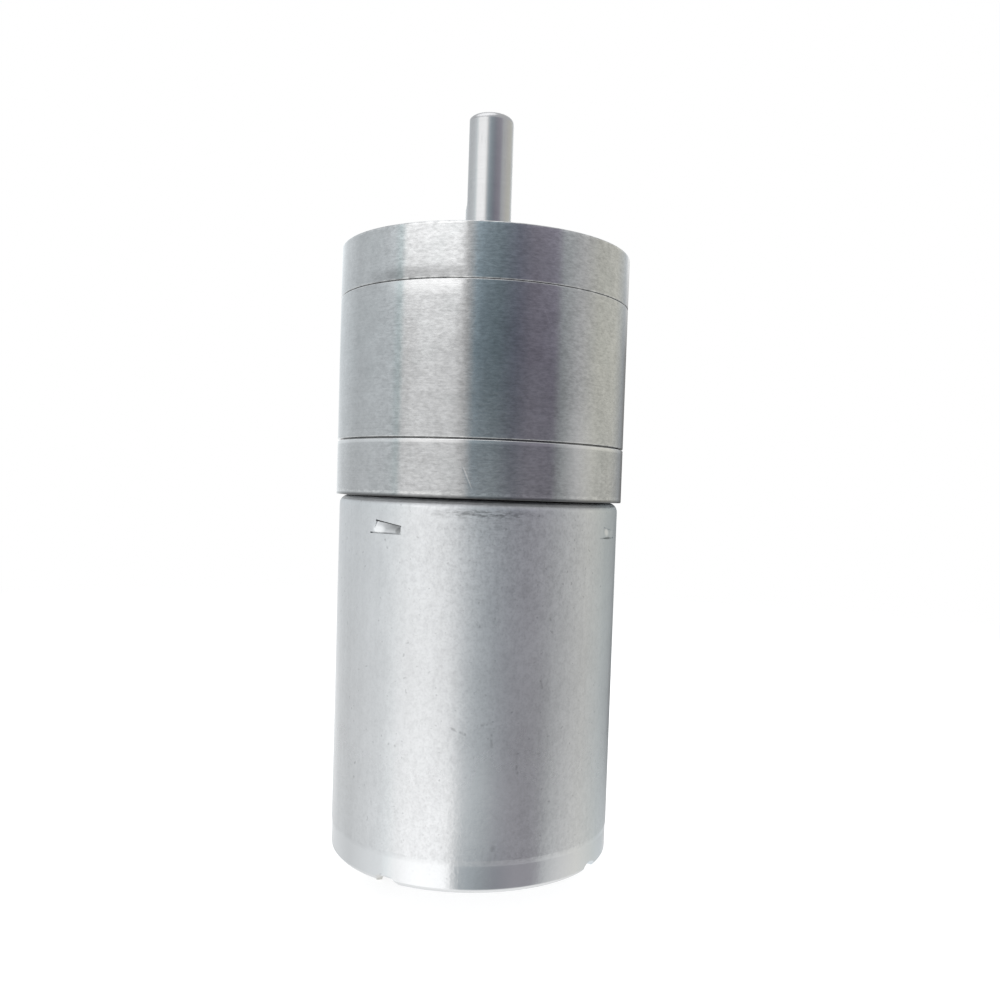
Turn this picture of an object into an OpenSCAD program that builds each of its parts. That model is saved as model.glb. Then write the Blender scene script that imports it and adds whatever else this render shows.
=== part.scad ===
// Small DC gearmotor: a brushed motor behind a four-stage spur gearbox with a D-cut output shaft.
// +Z runs up along the output shaft, and z = 0 is the front mounting face. Sizes are in millimetres.

/* [Gearbox] */
// Outside diameter of the gearbox
gearbox_d = 25; // [25:0.1:25.6]
// Thickness of the front cover
cover_t = 4.3; // [4:0.1:5]
// Height of the gearbox ring
ring_h = 12.1; // [12.1:0.1:13]
// Thickness of the rear plate
plate_t = 4.6; // [4.6:0.1:5.4]
// Chamfer on the seams between the gearbox pieces
seam_chamfer = 0.15; // [0.1:0.05:0.2]

/* [Output] */
// Diameter of the output shaft
shaft_d = 4; // [4:0.05:4.1]
// Height of the shaft's tip above the front face
shaft_tip = 12.2; // [11:0.1:14]
// Length of the D-cut, measured from the tip
flat_len = 8; // [5:0.5:8]
// Size across the D-cut
flat_across = 3.5; // [3.5:0.05:3.7]
// Direction that the flat faces, in degrees from +X
flat_dir = 160; // [0:5:355]
// Diameter of the round pilot boss on the front cover
boss_d = 7; // [6.9:0.1:8]
// Height of the pilot boss
boss_h = 2.5; // [2:0.1:3]

/* [Mounting holes] */
// Distance between the two threaded mounting holes
hole_spacing = 17; // [16.5:0.1:17.2]
// Diameter of the threads' core
hole_d = 2.5; // [2.4:0.05:2.6]
// Depth of the mounting holes
hole_depth = 3; // [2:0.1:3.2]

/* [Gear train] */
// Module of the teeth, which is pitch diameter over number of teeth
tooth_module = 0.4; // [0.39:0.005:0.4]
// Teeth on each pinion
pinion_teeth = 9; // [9]
// Teeth on each wheel
wheel_teeth = 22; // [22]
// Sideways thinning of each tooth, which gives the gears their play
tooth_play = 0.06; // [0.05:0.01:0.08]

/* [Motor] */
// Outside diameter of the motor can
can_d = 24.4; // [24.2:0.1:24.6]
// Length of the motor can
can_len = 30.8; // [30.8:0.1:33]
// Wall thickness of the can
can_wall = 1; // [0.9:0.05:1]
// Radius of the can's front corner
can_corner = 0.8; // [0.6:0.1:1.2]
// Height of the smooth band at the can's rear
band_h = 2.25; // [1.5:0.05:2.5]
// Diameter of the motor shaft
motor_shaft_d = 2; // [2]

/* [Hidden] */
$fn = 96;

// Colours
zinc = [0.66, 0.67, 0.68];
plated_steel = [0.76, 0.78, 0.80];
steel = [0.62, 0.63, 0.65];
dark_steel = [0.36, 0.37, 0.39];
bronze = [0.66, 0.50, 0.30];
brass = [0.80, 0.66, 0.34];
copper = [0.78, 0.42, 0.24];
nylon = [0.10, 0.10, 0.11];
ferrite = [0.17, 0.17, 0.18];
carbon = [0.22, 0.21, 0.21];

// Small gap that lets one piece go through a cut
eps = 0.01;

// Heights of the casing joints
ring_top = -cover_t;
plate_top = ring_top - ring_h;
can_top = plate_top - plate_t;
can_rear = can_top - can_len;

// Gearbox casing
gearbox_r = gearbox_d / 2;
casing_wall = 1.3;
cavity_r = gearbox_r - casing_wall;
pocket_depth = 1.8;
floor_z = plate_top - pocket_depth;
screw_ring_r = 9.7;
screw_angles = [-105, -30, 30, 105];
screw_boss_r = 1.8;
cover_screw_r = 0.98;
cover_screw_hole_r = 1.0;
cover_head_r = 1.9;
cover_head_h = 1.1;
cover_screw_end = can_top + 1.6;
head_sink = 0.05;

// Gear train: both layshaft pins and the output axis are one centre distance apart
pressure_angle = 20;
profile_shift = 0.45;
tip_cut = 0.08;
centre_distance = tooth_module * (pinion_teeth + wheel_teeth) / 2;
pin_angles = [150, 210];
pin_r = 0.75;
gear_bore_r = 0.79;
level_widths = [2.0, 2.2, 2.8, 3.6];
level_gap = 0.4;
shim_t = 0.2;
shim_gap = 0.1;
shim_r = 1.35;
lay_a = centre_distance * [cos(pin_angles[0]), sin(pin_angles[0])];
lay_b = centre_distance * [cos(pin_angles[1]), sin(pin_angles[1])];

// Bottom and top of gear level n, counted from the motor
function level_bottom(n) = n == 0 ? floor_z + level_gap : level_top(n - 1) + level_gap;
function level_top(n) = level_bottom(n) + level_widths[n];

// Bottom and top of each compound gear
first_z = [level_bottom(0), level_top(1)];
second_z = [level_bottom(1), level_top(2)];
third_z = [level_bottom(2), level_top(3) + shim_gap];
output_z = [level_bottom(3), level_top(3)];
cover_post_z = third_z[1] + shim_gap + shim_t;

// Output shaft and its bushing
shaft_r = shaft_d / 2;
journal_r = shaft_r - 0.2;
d_end_r = shaft_r - 0.02;
flat_start = shaft_tip - flat_len;
shoulder_z = boss_h + 0.2;
tip_chamfer = 0.4;
boss_chamfer = 0.2;
bushing_bore_r = journal_r + 0.03;
bushing_r = bushing_bore_r + 0.9;
bushing_flange_r = 3.8;
bushing_flange_t = 0.8;
washer_r = 3.6;

// Motor casing
can_r = can_d / 2;
can_in_r = can_r - can_wall;
band_step = 0.05;
motor_boss_r = 3;
motor_boss_h = 1.5;
motor_screw_x = 8;
motor_screw_r = 1.23;
motor_screw_hole_r = 1.25;
motor_head_r = 2.3;
motor_head_h = 1.2;
motor_screw_end = can_top - 1.8;

// Crimps around the can's rear rim and lances near its front, in degrees from -Y
notch_angles = [-33, 57, 147, 237];
notch_w = 1.8;
notch_h = 0.6;
lance_angles = [-37, 63, 143, 243];
lance_w = 3.2;
lance_h = 0.9;
lance_z = can_top - 2.9;
lance_depth = 0.55;

// Motor inside: brush_dir is the direction of the terminals
brush_dir = 11.25;
magnet_z = [can_top - 23.7, can_top - 3.9];
magnet_in_r = 8.45;
magnet_span = 126;
core_z = [can_top - 21.8, can_top - 5.2];
core_r = 8;
slots = 5;
tooth_w = 3;
coil_over = 2;
insulator_t = 0.4;
motor_shaft_r = motor_shaft_d / 2;
motor_shaft_z = [can_rear - 2.4, level_top(0) + 0.15];
bearing_bore_r = motor_shaft_r + 0.02;
bearing_r = 2.2;
commutator_z = [can_rear + 2.9, can_rear + 5.7];
commutator_r = 3.1;
hub_r = 2.4;
plate_z = [can_rear + notch_h, can_rear + notch_h + 1];
holder_top = plate_z[1] + 4.2;
rear_boss_r = 3.5;
rear_boss_z = can_rear - 1.8;
terminal_x = 8;
terminal_end = can_rear - 3;
brush_x = commutator_r + 0.06;
brush_len = 1.6;
arm_t = 0.25;
arm_h = 2;
arm_z = commutator_z[0] + 0.4;
arm_y = brush_x + brush_len;

// ---------- Shared shapes ----------

// Cylinder from height a to height b
module rod(r, a, b) {
  translate([0, 0, a]) cylinder(r = r, h = b - a);
}

// Tube from height a to height b
module tube(outer, inner, a, b) {
  difference() {
    rod(outer, a, b);
    rod(inner, a - 1, b + 1);
  }
}

// Short cone from radius ra at height a to radius rb at height b
module taper(ra, rb, a, b) {
  translate([0, 0, a]) cylinder(r1 = ra, r2 = rb, h = b - a);
}

// Disc with both of its outer edges chamfered
module chamfered_disc(r, a, b, c) {
  taper(r - c, r, a, a + c);
  rod(r, a + c, b - c);
  taper(r, r - c, b - c, b);
}

// Wedge of the given angle about +X, reaching out to radius r
module wedge(angle, r, a, b) {
  steps = max(2, ceil(angle / 40));
  reach = r / cos(angle / steps / 2);
  rim = [for (i = [0 : steps]) let (t = -angle / 2 + i * angle / steps) reach * [cos(t), sin(t)]];
  translate([0, 0, a]) linear_extrude(b - a) polygon(concat([[0, 0]], rim));
}

// Cross-shaped screwdriver recess that opens upward at height z
module cross_recess(width, depth, z) {
  slot_w = width / 4.5;
  for (a = [0, 90])
    rotate([0, 0, a]) translate([-width / 2, -slot_w / 2, z - depth]) cube([width, slot_w, depth + 1]);
}

// Countersunk screw with its flat head at height top
module countersunk_screw(r, head_r, head_h, top, end, recess_w) {
  difference() {
    union() {
      rod(r, end, top - head_h + eps);
      taper(r, head_r, top - head_h, top - 0.15);
      rod(head_r, top - 0.15, top);
    }
    cross_recess(recess_w, head_h * 0.75, top);
  }
}

// Matching hole for a countersunk screw
module countersunk_hole(r, head_r, head_h, top, end) {
  rod(r, end - 0.4, top + 1);
  taper(r + 0.02, head_r + 0.02, top - head_h, top - 0.15);
  rod(head_r + 0.02, top - 0.15, top + 1);
}

module at_cover_screws() {
  for (a = screw_angles)
    rotate([0, 0, a]) translate([screw_ring_r, 0, 0]) children();
}

module at_motor_screws() {
  for (x = [-motor_screw_x, motor_screw_x])
    translate([x, 0, 0]) children();
}

// Angles counted from -Y, as seen from the front
module around_can(angles) {
  for (a = angles)
    rotate([0, 0, a - 90]) children();
}

// ---------- Gear teeth ----------

// Involute function, in degrees
function inv(a) = tan(a) * 180 / PI - a;

// Half the angle that a tooth fills at radius r
function tooth_half_angle(teeth, shift, r) =
  let (
    pitch_r = tooth_module * teeth / 2,
    base_r = pitch_r * cos(pressure_angle),
    at_pitch = tooth_module * (PI / 2 + 2 * shift * tan(pressure_angle)) - tooth_play,
    at_r = max(r, base_r + 0.0001)
  )
  at_pitch / (2 * pitch_r) * 180 / PI + inv(pressure_angle) - inv(acos(base_r / at_r));

function polar(r, a) = [r * cos(a), r * sin(a)];

// Outline of a gear whose first tooth points at the angle phase
function gear_outline(teeth, shift, phase) =
  let (
    pitch_r = tooth_module * teeth / 2,
    root_r = pitch_r + tooth_module * (shift - 1.25),
    tip_r = pitch_r + tooth_module * (1 + shift) - tip_cut,
    base_r = pitch_r * cos(pressure_angle),
    steps = 4,
    start_r = max(base_r, root_r),
    radii = concat([root_r], [for (i = [0 : steps]) start_r + (tip_r - start_r) * i / steps])
  )
  [for (k = [0 : teeth - 1]) let (centre = phase + k * 360 / teeth)
    each concat(
      [for (r = radii) polar(r, centre - tooth_half_angle(teeth, shift, r))],
      [for (i = [len(radii) - 1 : -1 : 0]) polar(radii[i], centre + tooth_half_angle(teeth, shift, radii[i]))]
    )];

// Phase of a gear that meshes with a gear of the given phase, in the direction toward it
function meshing_phase(toward, phase, teeth, mate_teeth) =
  toward + 180 - (0.5 - (toward - phase) * teeth / 360) * 360 / mate_teeth;

phase_motor = 0;
phase_first = meshing_phase(pin_angles[0], phase_motor, pinion_teeth, wheel_teeth);
phase_second = meshing_phase(270, phase_first, pinion_teeth, wheel_teeth);
phase_third = meshing_phase(90, phase_second, pinion_teeth, wheel_teeth);
phase_output = meshing_phase(pin_angles[0] + 180, phase_third, pinion_teeth, wheel_teeth);

module wheel(phase, a, b) {
  translate([0, 0, a]) linear_extrude(b - a) polygon(gear_outline(wheel_teeth, -profile_shift, phase));
}

module pinion(phase, a, b) {
  translate([0, 0, a]) linear_extrude(b - a) polygon(gear_outline(pinion_teeth, profile_shift, phase));
}

// Wheel with a pinion on its front side, turning on a layshaft pin
module compound_gear(axis, phase, ends, wheel_top) {
  translate([axis.x, axis.y, 0])
    difference() {
      union() {
        wheel(phase, ends[0], wheel_top);
        pinion(phase, wheel_top - 0.2, ends[1]);
      }
      rod(gear_bore_r, ends[0] - 1, ends[1] + 1);
    }
}

// ---------- Gearbox ----------

module front_cover() {
  color(zinc)
    difference() {
      union() {
        chamfered_disc(gearbox_r, ring_top, 0, seam_chamfer);
        rod(boss_d / 2, -1, boss_h - boss_chamfer);
        taper(boss_d / 2, boss_d / 2 - boss_chamfer, boss_h - boss_chamfer, boss_h);
        for (p = [lay_a, lay_b])
          translate([p.x, p.y, 0]) rod(1.5, cover_post_z, ring_top + 1);
      }
      rod(bushing_r, ring_top - 1, boss_h + 1);
      for (x = [-hole_spacing / 2, hole_spacing / 2])
        translate([x, 0, 0]) rod(hole_d / 2, -hole_depth, 1);
      at_cover_screws()
        countersunk_hole(cover_screw_hole_r, cover_head_r, cover_head_h, -head_sink, ring_top - 1);
      for (p = [lay_a, lay_b])
        translate([p.x, p.y, 0]) rod(pin_r, cover_post_z - 1, ring_top + 1.5);
    }
}

module output_bushing() {
  color(bronze) {
    tube(bushing_r, bushing_bore_r, ring_top, boss_h - 0.3);
    tube(bushing_flange_r, bushing_bore_r, ring_top - bushing_flange_t, ring_top);
  }
}

module thrust_washer() {
  color(steel)
    tube(washer_r, bushing_bore_r + 0.04, output_z[1] + shim_gap, ring_top - bushing_flange_t - shim_gap);
}

// Round cavity that leaves a boss standing round each cover screw
module cavity(a, b) {
  translate([0, 0, a])
    linear_extrude(b - a)
      difference() {
        circle(r = cavity_r);
        for (t = screw_angles) rotate(t) translate([screw_ring_r, 0]) circle(r = screw_boss_r);
      }
}

module gearbox_ring() {
  color(zinc)
    difference() {
      chamfered_disc(gearbox_r, plate_top, ring_top, seam_chamfer);
      cavity(plate_top - 1, ring_top + 1);
      at_cover_screws() rod(cover_screw_hole_r + 0.1, plate_top - 1, ring_top + 1);
    }
}

module rear_plate() {
  color(zinc)
    difference() {
      union() {
        difference() {
          chamfered_disc(gearbox_r, can_top, plate_top, seam_chamfer);
          cavity(floor_z, plate_top + 1);
        }
        translate([lay_b.x, lay_b.y, 0]) rod(1.2, floor_z - 1, second_z[0] - shim_gap - shim_t);
      }
      rod(motor_boss_r + 0.1, can_top - 1, can_top + motor_boss_h + 0.1);
      rod(2.6, can_top - 1, floor_z + 1);
      at_cover_screws() rod(cover_screw_hole_r, cover_screw_end - 0.3, plate_top + 1);
      at_motor_screws()
        countersunk_hole(motor_screw_hole_r, motor_head_r, motor_head_h, floor_z - head_sink, can_top - 1);
      for (p = [lay_a, lay_b])
        translate([p.x, p.y, 0]) rod(pin_r, can_top + 0.6, second_z[0]);
    }
}

module cover_screws() {
  color(steel)
    at_cover_screws()
      countersunk_screw(cover_screw_r, cover_head_r, cover_head_h, -head_sink, cover_screw_end, 2.1);
}

module motor_screws() {
  color(steel)
    at_motor_screws()
      countersunk_screw(motor_screw_r, motor_head_r, motor_head_h, floor_z - head_sink, motor_screw_end, 2.6);
}

// Shaft whose D-cut end is ground a hair thinner than the round part above the bushing
module output_shaft() {
  color(steel)
    rotate([0, 0, flat_dir])
      difference() {
        union() {
          rod(journal_r, output_z[0], shoulder_z + eps);
          rod(shaft_r, shoulder_z, flat_start);
          rod(d_end_r, flat_start - eps, shaft_tip - tip_chamfer);
          taper(d_end_r, d_end_r - tip_chamfer, shaft_tip - tip_chamfer, shaft_tip);
        }
        translate([flat_across - shaft_r, -shaft_r - 1, flat_start])
          cube([shaft_r + 1, shaft_d + 2, flat_len + 1]);
      }
}

module output_gear() {
  color(dark_steel)
    difference() {
      wheel(phase_output, output_z[0], output_z[1]);
      rod(journal_r, output_z[0] - 1, output_z[1] + 1);
    }
}

module layshaft_pins() {
  color(steel)
    for (p = [lay_a, lay_b])
      translate([p.x, p.y, 0]) rod(pin_r, can_top + 0.6, ring_top + 1.5);
}

module first_gear() {
  color(dark_steel) compound_gear(lay_a, phase_first, first_z, level_top(0));
}

module second_gear() {
  color(dark_steel) compound_gear(lay_b, phase_second, second_z, level_top(1));
}

module third_gear() {
  color(dark_steel) compound_gear(lay_a, phase_third, third_z, level_top(2));
}

// Thin washers on the two pins, between the gears and at their ends
module gear_shims() {
  color(bronze) {
    translate([lay_a.x, lay_a.y, 0]) {
      tube(shim_r, pin_r, floor_z, floor_z + level_gap - shim_gap);
      tube(shim_r, pin_r, first_z[1] + shim_gap, first_z[1] + shim_gap + shim_t);
      tube(shim_r, pin_r, third_z[1] + shim_gap, cover_post_z);
    }
    translate([lay_b.x, lay_b.y, 0]) {
      tube(1.2, pin_r, second_z[0] - shim_gap - shim_t, second_z[0] - shim_gap);
      tube(shim_r, pin_r, second_z[1] + shim_gap, second_z[1] + shim_gap + shim_t);
    }
  }
}

module spacer_sleeve() {
  color(brass)
    translate([lay_b.x, lay_b.y, 0]) tube(1.2, pin_r, second_z[1] + shim_gap + shim_t, cover_post_z);
}

// ---------- Motor casing ----------

module motor_can() {
  color(plated_steel)
    difference() {
      union() {
        difference() {
          can_body();
          rod(can_in_r, can_rear - 1, can_top - can_wall);
          around_can(notch_angles)
            translate([can_in_r - 0.5, -notch_w / 2, can_rear - 1]) cube([3, notch_w, notch_h + 1]);
        }
        crimp_tabs();
      }
      rod(bearing_r, can_top - can_wall - 1, can_top + motor_boss_h + 1);
      at_motor_screws() rod(motor_screw_hole_r, can_top - can_wall - 1, can_top + 1);
      around_can(lance_angles)
        translate([can_r - lance_depth, -lance_w / 2, lance_z]) cube([2, lance_w, lance_h]);
    }
}

// Drawn can with a rounded front corner, the front boss and the slightly smaller rear band
module can_body() {
  corner = [for (i = [0 : 6]) [can_r - can_corner, can_top - can_corner] + polar(can_corner, i * 15)];
  outline = concat(
    [[0, can_rear], [can_r - 0.35, can_rear], [can_r - band_step, can_rear + 0.3]],
    [[can_r - band_step, can_rear + band_h], [can_r, can_rear + band_h + 0.05]],
    corner,
    [[motor_boss_r, can_top], [motor_boss_r, can_top + motor_boss_h], [0, can_top + motor_boss_h]]
  );
  rotate_extrude() polygon(outline);
}

// Tabs bent in from the notches in the rim over the end plate
module crimp_tabs() {
  around_can(notch_angles)
    translate([can_in_r - 0.9, -notch_w / 2, plate_z[0] - 0.35]) cube([1.4, notch_w, 0.35]);
}

module front_bearing() {
  color(bronze) tube(bearing_r, bearing_bore_r, can_top - can_wall - 0.5, can_top + motor_boss_h);
}

module end_plate() {
  color(plated_steel)
    difference() {
      union() {
        rod(can_in_r - 0.03, plate_z[0], plate_z[1]);
        rod(rear_boss_r, rear_boss_z, plate_z[0] + eps);
      }
      rod(bearing_r, rear_boss_z - 1, plate_z[1] + 1);
      rotate([0, 0, brush_dir])
        for (x = [-terminal_x, terminal_x])
          translate([x - 1.5, -2.5, plate_z[0] - 1]) cube([3, 5, 3]);
    }
}

module rear_bearing() {
  color(bronze) tube(bearing_r, bearing_bore_r, rear_boss_z + 0.4, plate_z[1] + 0.6);
}

// ---------- Motor inside ----------

module magnets() {
  color(ferrite)
    for (a = [brush_dir + 90, brush_dir - 90])
      rotate([0, 0, a])
        intersection() {
          tube(can_in_r - 0.03, magnet_in_r, magnet_z[0], magnet_z[1]);
          wedge(magnet_span, can_r, magnet_z[0] - 1, magnet_z[1] + 1);
        }
}

// Sprung wire clips that push the magnets apart, one in each gap between them
module magnet_springs() {
  wire = 0.7;
  reach = can_in_r - 0.75;
  half_width = 3.9;
  top = magnet_z[1] - 2;
  color(steel)
    for (side = [0, 180])
      rotate([0, 0, brush_dir + side])
        translate([reach - wire - 0.65, 0, 0]) {
          for (y = [-half_width, half_width - wire])
            translate([0, y, magnet_z[0] + 1]) cube([wire, wire, top - magnet_z[0] - 1]);
          translate([0, -half_width, top - wire]) cube([wire, 2 * half_width, wire]);
        }
}

module brush_holder() {
  color(nylon)
    difference() {
      union() {
        tube(can_in_r - 0.05, can_in_r - 1.2, plate_z[1], holder_top);
        rod(can_in_r - 0.05, plate_z[1], plate_z[1] + 1);
        rotate([0, 0, brush_dir])
          for (x = [-terminal_x, terminal_x])
            translate([x - 1.4, -2.4, plate_z[0] - 0.3]) cube([2.8, 4.8, 3]);
      }
      rod(commutator_r + 0.5, plate_z[1] - 1, holder_top + 1);
      at_terminals() translate([-0.25, -1.4, plate_z[0] - 1]) cube([0.5, 2.8, 8]);
    }
}

module at_terminals() {
  for (side = [0, 180])
    rotate([0, 0, brush_dir + side]) translate([terminal_x, 0, 0]) children();
}

module terminals() {
  color(brass)
    at_terminals()
      difference() {
        translate([-0.25, -1.4, terminal_end]) cube([0.5, 2.8, arm_z + arm_h - terminal_end]);
        translate([-1, 0, terminal_end + 1.3]) rotate([0, 90, 0]) cylinder(r = 0.55, h = 2);
      }
}

// Sprung copper strips that run from the terminals past the commutator
module brush_arms() {
  color(copper)
    for (side = [0, 180])
      rotate([0, 0, brush_dir + side]) {
        translate([-2, arm_y, arm_z]) cube([terminal_x + 2.25, arm_t, arm_h]);
        translate([terminal_x, 1.4, arm_z]) cube([arm_t, arm_y - 1.4 + arm_t, arm_h]);
      }
}

module brushes() {
  color(carbon)
    for (side = [0, 180])
      rotate([0, 0, brush_dir + side])
        difference() {
          translate([-1, 2.4, arm_z + 0.1]) cube([2, arm_y - 2.4, arm_h - 0.2]);
          rod(brush_x, arm_z - 1, arm_z + arm_h + 1);
        }
}

// ---------- Rotor ----------

module motor_shaft() {
  color(steel) {
    taper(motor_shaft_r - 0.2, motor_shaft_r, motor_shaft_z[0], motor_shaft_z[0] + 0.2);
    rod(motor_shaft_r, motor_shaft_z[0] + 0.2, motor_shaft_z[1]);
  }
}

module motor_pinion() {
  color(brass)
    difference() {
      pinion(phase_motor, can_top + motor_boss_h + 0.3, level_top(0) + 0.1);
      rod(motor_shaft_r, can_top, 0);
    }
}

// Laminated core outline: a hub, one pole for each coil, and pole shoes with slot openings between them
module core_profile(trim = 0) {
  difference() {
    union() {
      circle(r = 3.4);
      difference() {
        circle(r = core_r - trim);
        circle(r = core_r - 1.2);
        for (i = [0 : slots - 1])
          rotate((i + 0.5) * 360 / slots) translate([core_r - 2, -0.65]) square([3, 1.3]);
      }
      for (i = [0 : slots - 1])
        rotate(i * 360 / slots) translate([0, -tooth_w / 2]) square([core_r - 1, tooth_w]);
    }
    circle(r = motor_shaft_r);
  }
}

module rotor_core() {
  color(steel) translate([0, 0, core_z[0]]) linear_extrude(core_z[1] - core_z[0]) core_profile();
}

module core_insulators() {
  color(nylon)
    for (z = [core_z[0] - insulator_t, core_z[1]])
      translate([0, 0, z]) linear_extrude(insulator_t) core_profile(trim = 0.3);
}

// One closed coil round each pole
module coils() {
  coil_bottom = core_z[0] - insulator_t - coil_over;
  coil_top = core_z[1] + insulator_t + coil_over;
  color(copper)
    for (i = [0 : slots - 1])
      rotate([0, 0, i * 360 / slots])
        difference() {
          intersection() {
            tube(6.7, 3.5, coil_bottom, coil_top);
            wedge(360 / slots - 4, 7, coil_bottom - 1, coil_top + 1);
          }
          translate([0, -tooth_w / 2 - 0.05, core_z[0] - insulator_t])
            cube([9, tooth_w + 0.1, core_z[1] - core_z[0] + 2 * insulator_t]);
        }
}

module commutator_hub() {
  color([0.35, 0.2, 0.1]) tube(hub_r, motor_shaft_r, commutator_z[0] - 0.2, commutator_z[1] + 0.6);
}

module commutator_segments() {
  span = 360 / slots - 8;
  color(copper)
    for (i = [0 : slots - 1])
      rotate([0, 0, (i + 0.5) * 360 / slots])
        intersection() {
          union() {
            tube(commutator_r, hub_r, commutator_z[0], commutator_z[1]);
            tube(commutator_r + 0.9, hub_r, commutator_z[1] - 0.4, commutator_z[1]);
          }
          wedge(span, 5, commutator_z[0] - 1, commutator_z[1] + 1);
        }
}

module varistor_ring() {
  color([0.25, 0.24, 0.23]) tube(commutator_r + 1.2, hub_r, commutator_z[1], commutator_z[1] + 0.6);
}

// Washers and sleeves that space the core between the two bearings
module shaft_washers() {
  color(brass) {
    tube(1.9, motor_shaft_r, core_z[1] + insulator_t, can_top - can_wall - 1);
    tube(1.7, motor_shaft_r, can_top - can_wall - 0.9, can_top - can_wall - 0.6);
    tube(1.7, motor_shaft_r, commutator_z[1] + 0.6, core_z[0] - insulator_t);
    tube(1.5, motor_shaft_r, plate_z[1] + 0.7, commutator_z[0] - 0.2);
  }
}

// ---------- One line for each node ----------

front_cover();
output_bushing();
thrust_washer();
gearbox_ring();
rear_plate();
cover_screws();
motor_screws();
output_shaft();
output_gear();
layshaft_pins();
first_gear();
second_gear();
third_gear();
gear_shims();
spacer_sleeve();
motor_pinion();
motor_can();
front_bearing();
magnets();
magnet_springs();
motor_shaft();
rotor_core();
core_insulators();
coils();
commutator_hub();
commutator_segments();
varistor_ring();
shaft_washers();
brush_holder();
end_plate();
rear_bearing();
brush_arms();
brushes();
terminals();
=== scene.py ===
import math
import random

import bmesh
import bpy
from mathutils import Matrix, Vector


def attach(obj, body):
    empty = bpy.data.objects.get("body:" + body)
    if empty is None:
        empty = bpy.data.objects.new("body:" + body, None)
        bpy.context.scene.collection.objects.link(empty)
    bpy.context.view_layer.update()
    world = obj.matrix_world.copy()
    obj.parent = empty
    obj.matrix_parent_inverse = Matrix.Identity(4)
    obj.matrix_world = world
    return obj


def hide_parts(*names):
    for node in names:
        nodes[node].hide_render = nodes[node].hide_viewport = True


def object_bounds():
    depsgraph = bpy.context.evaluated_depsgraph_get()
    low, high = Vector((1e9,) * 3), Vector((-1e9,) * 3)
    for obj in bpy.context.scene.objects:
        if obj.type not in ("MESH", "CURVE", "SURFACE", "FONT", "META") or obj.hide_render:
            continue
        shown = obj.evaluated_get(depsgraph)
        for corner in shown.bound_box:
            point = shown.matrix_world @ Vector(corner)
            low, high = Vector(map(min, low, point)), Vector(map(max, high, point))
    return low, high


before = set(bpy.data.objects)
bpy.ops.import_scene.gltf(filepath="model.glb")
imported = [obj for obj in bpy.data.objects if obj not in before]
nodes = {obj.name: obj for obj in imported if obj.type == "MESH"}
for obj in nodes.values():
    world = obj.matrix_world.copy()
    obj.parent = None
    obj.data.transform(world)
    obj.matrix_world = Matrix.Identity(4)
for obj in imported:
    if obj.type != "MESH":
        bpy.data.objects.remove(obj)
cad_low, cad_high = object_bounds()
scene = bpy.context.scene
MM = 0.001
rng = random.Random(11)


def polar(r, angle):
    return (r * math.cos(math.radians(angle)), r * math.sin(math.radians(angle)))


# ---------- Sizes in millimetres, as in the CAD model ----------

GEARBOX_R = 12.5
COVER_Z = -4.3
RING_Z = -16.4
PLATE_Z = -21.0
POCKET_Z = -18.2
CAVITY_R = 11.2
SCREW_RING_R = 9.7
COVER_SCREWS_AT = [polar(SCREW_RING_R, a) for a in (-105, -30, 30, 105)]
SCREW_BOSS_R = 1.8
CENTRE_DISTANCE = 6.2
PIN_R = 0.75
# Posts round the layshaft pins: radius, and height of the free end
COVER_POST, PLATE_POST = (1.5, -5.6), (1.2, -15.7)
BOSS_R, BOSS_H = 3.5, 2.5
HOLE_X, HOLE_R, HOLE_DEPTH = 8.5, 1.25, 3.0
MOTOR_SCREWS_AT = ((-8.0, 0), (8.0, 0))
# Each kind of screw: radius, head radius and height, top, end, and width of the cross recess
COVER_SCREW = (0.98, 1.9, 1.1, -0.05, -19.4, 2.1)
MOTOR_SCREW = (1.23, 2.3, 1.2, -18.25, -22.8, 2.6)
COVER_HOLE_R, MOTOR_HOLE_R = 1.0, 1.25
CAN_R, CAN_WALL, CAN_REAR = 12.2, 1.0, -51.8
CAN_IN_R = CAN_R - CAN_WALL
BAND_TOP = CAN_REAR + 2.25
NOTCH_ANGLES = (-33, 57, 147, 237)
# Each lance: angle, and depth at its left and right ends; then the heights of its lower and upper edges
LANCES = ((-37, 0.12, 0.62), (63, 0.15, 0.05), (143, 0.12, 0.6), (243, 0.4, 0.12))
LANCE_LOW, LANCE_TOP = -23.92, -22.95
MOTOR_BOSS_R, MOTOR_BOSS_Z = 3.0, -19.5
END_PLATE_Z, END_PLATE_TOP = -51.2, -50.2
END_BOSS_R, END_BOSS_Z = 3.5, -53.6
BEARING_R, BEARING_BORE_R = 2.2, 1.02
BRUSH_DIR = 11.25
TERMINAL_X, TERMINAL_END, TERMINAL_TOP = 8, -54.8, -46.5
# Scratches and dents, each from one (distance round the wall from -Y, height) to another
GEARBOX_SCRATCHES = (((4.6, -6.2), (5.2, -7.4)), ((-6.6, -13.9), (-5.4, -14.3)), ((9.3, -8.8), (9.9, -9.1)),
                     ((-0.6, -2.9), (0.9, -3.4)))
CAN_DENTS = (((1.5, -39.0), (1.6, -40.4)), ((0.3, -38.6), (1.3, -38.3)), ((-1.8, -38.7), (-0.3, -39.3)),
             ((5.4, -35.0), (5.6, -35.8)), ((0.0, -30.3), (0.4, -30.9)), ((3.6, -41.6), (3.7, -42.4)))
# Patches in the two front lances, painted shade in the first table and painted highlight in the second: centre, half
# widths and softness of the rim
LANCE_PAINTED_SHADE = (((-6.75, -23.68), (0.3, 0.25), 0.3), ((13.5, -23.93), (0.8, 0.1), 0.3))
LANCE_PAINTED_HIGHLIGHT = (((-8.7, -23.65), (0.5, 0.3), 0.4), ((13.2, -23.45), (0.4, 0.3), 0.4))
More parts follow.
